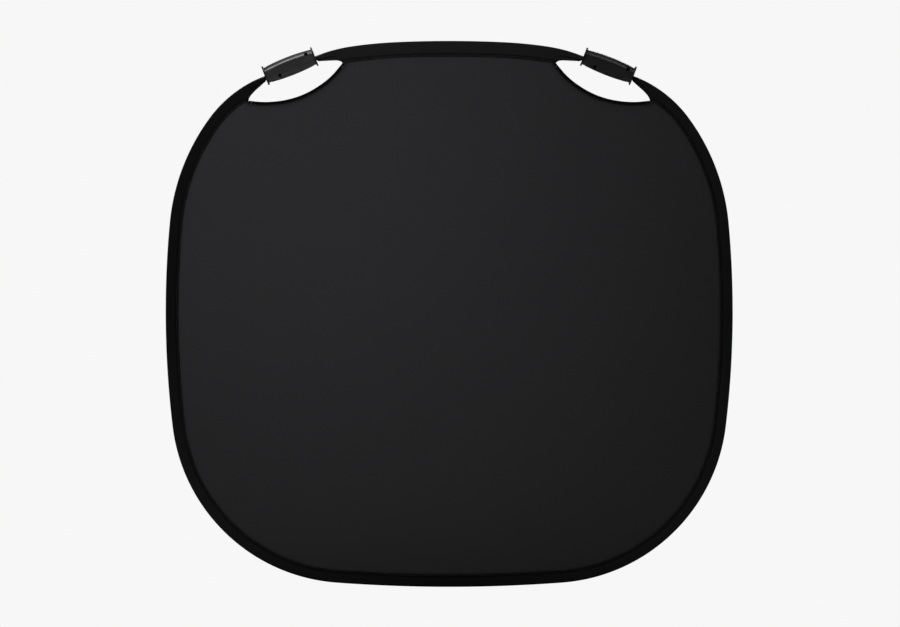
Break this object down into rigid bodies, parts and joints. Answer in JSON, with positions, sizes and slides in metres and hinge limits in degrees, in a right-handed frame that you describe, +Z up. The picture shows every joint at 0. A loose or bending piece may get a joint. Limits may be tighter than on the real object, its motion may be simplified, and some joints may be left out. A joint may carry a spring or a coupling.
{
  "type": "collapsible backdrop panel",
  "caption": "Rounded-square collapsible backdrop panel: stretched fabric in a sleeved spring-steel rim, with hand openings and swivelling moulded grips at the upper shoulders.",
  "frame": {"origin": "centre of the whole panel, on its mid-plane", "axes": "panel upright in the XZ plane; +X to the right seen from the front, +Y towards the back, +Z up; front black face looks along -Y"},
  "size_m": [1.2012, 0.0363, 1.1566],
  "materials": {
    "black_fabric": "fine matte black woven polyester, stretched smooth",
    "white_fabric": "fine matte white woven polyester",
    "rim_tape": "black ribbed polyester binding tape",
    "hem_tape": "narrow black folded binding",
    "spring_steel": "blued spring steel strip",
    "ferrule_steel": "plated steel, crimped",
    "grip_plastic": "satin black moulded nylon",
    "liner_rubber": "black moulded rubber",
    "screw_steel": "black oxide"
  },
  "bodies": {
    "left_side": {"hoop_left": "spring_steel", "hoop_ferrule": "ferrule_steel", "front_fabric_left": "black_fabric", "back_fabric_left": "white_fabric", "top_sleeve_left": "rim_tape", "lower_sleeve_left": "rim_tape", "opening_hem_left": "hem_tape", "left_grip_liner_front": "liner_rubber", "left_grip_liner_back": "liner_rubber"},
    "right_side": {"hoop_right": "spring_steel", "front_fabric_right": "black_fabric", "back_fabric_right": "white_fabric", "top_sleeve_right": "rim_tape", "lower_sleeve_right": "rim_tape", "opening_hem_right": "hem_tape", "right_grip_liner_front": "liner_rubber", "right_grip_liner_back": "liner_rubber"},
    "left_grip": {"left_grip_front_shell": "grip_plastic", "left_grip_back_shell": "grip_plastic", "left_grip_screws": "screw_steel"},
    "right_grip": {"right_grip_front_shell": "grip_plastic", "right_grip_back_shell": "grip_plastic", "right_grip_screws": "screw_steel"}
  },
  "joints": [
    {"name": "fold", "type": "hinge", "parent": "left_side", "child": "right_side", "pos_m": [0, -0.0055, 0], "axis": [0, 0, -1], "range_deg": [0, 170], "stiffness_Nm_per_rad": 1.5},
    {"name": "left_grip_swivel", "type": "hinge", "parent": "left_side", "child": "left_grip", "pos_m": [-0.33653, 0, 0.52254], "axis": [0.9311, 0, 0.3649], "range_deg": [-15, 15]},
    {"name": "right_grip_swivel", "type": "hinge", "parent": "right_side", "child": "right_grip", "pos_m": [0.33653, 0, 0.52254], "axis": [0.9311, 0, -0.3649], "range_deg": [-24, 6]}
  ]
}
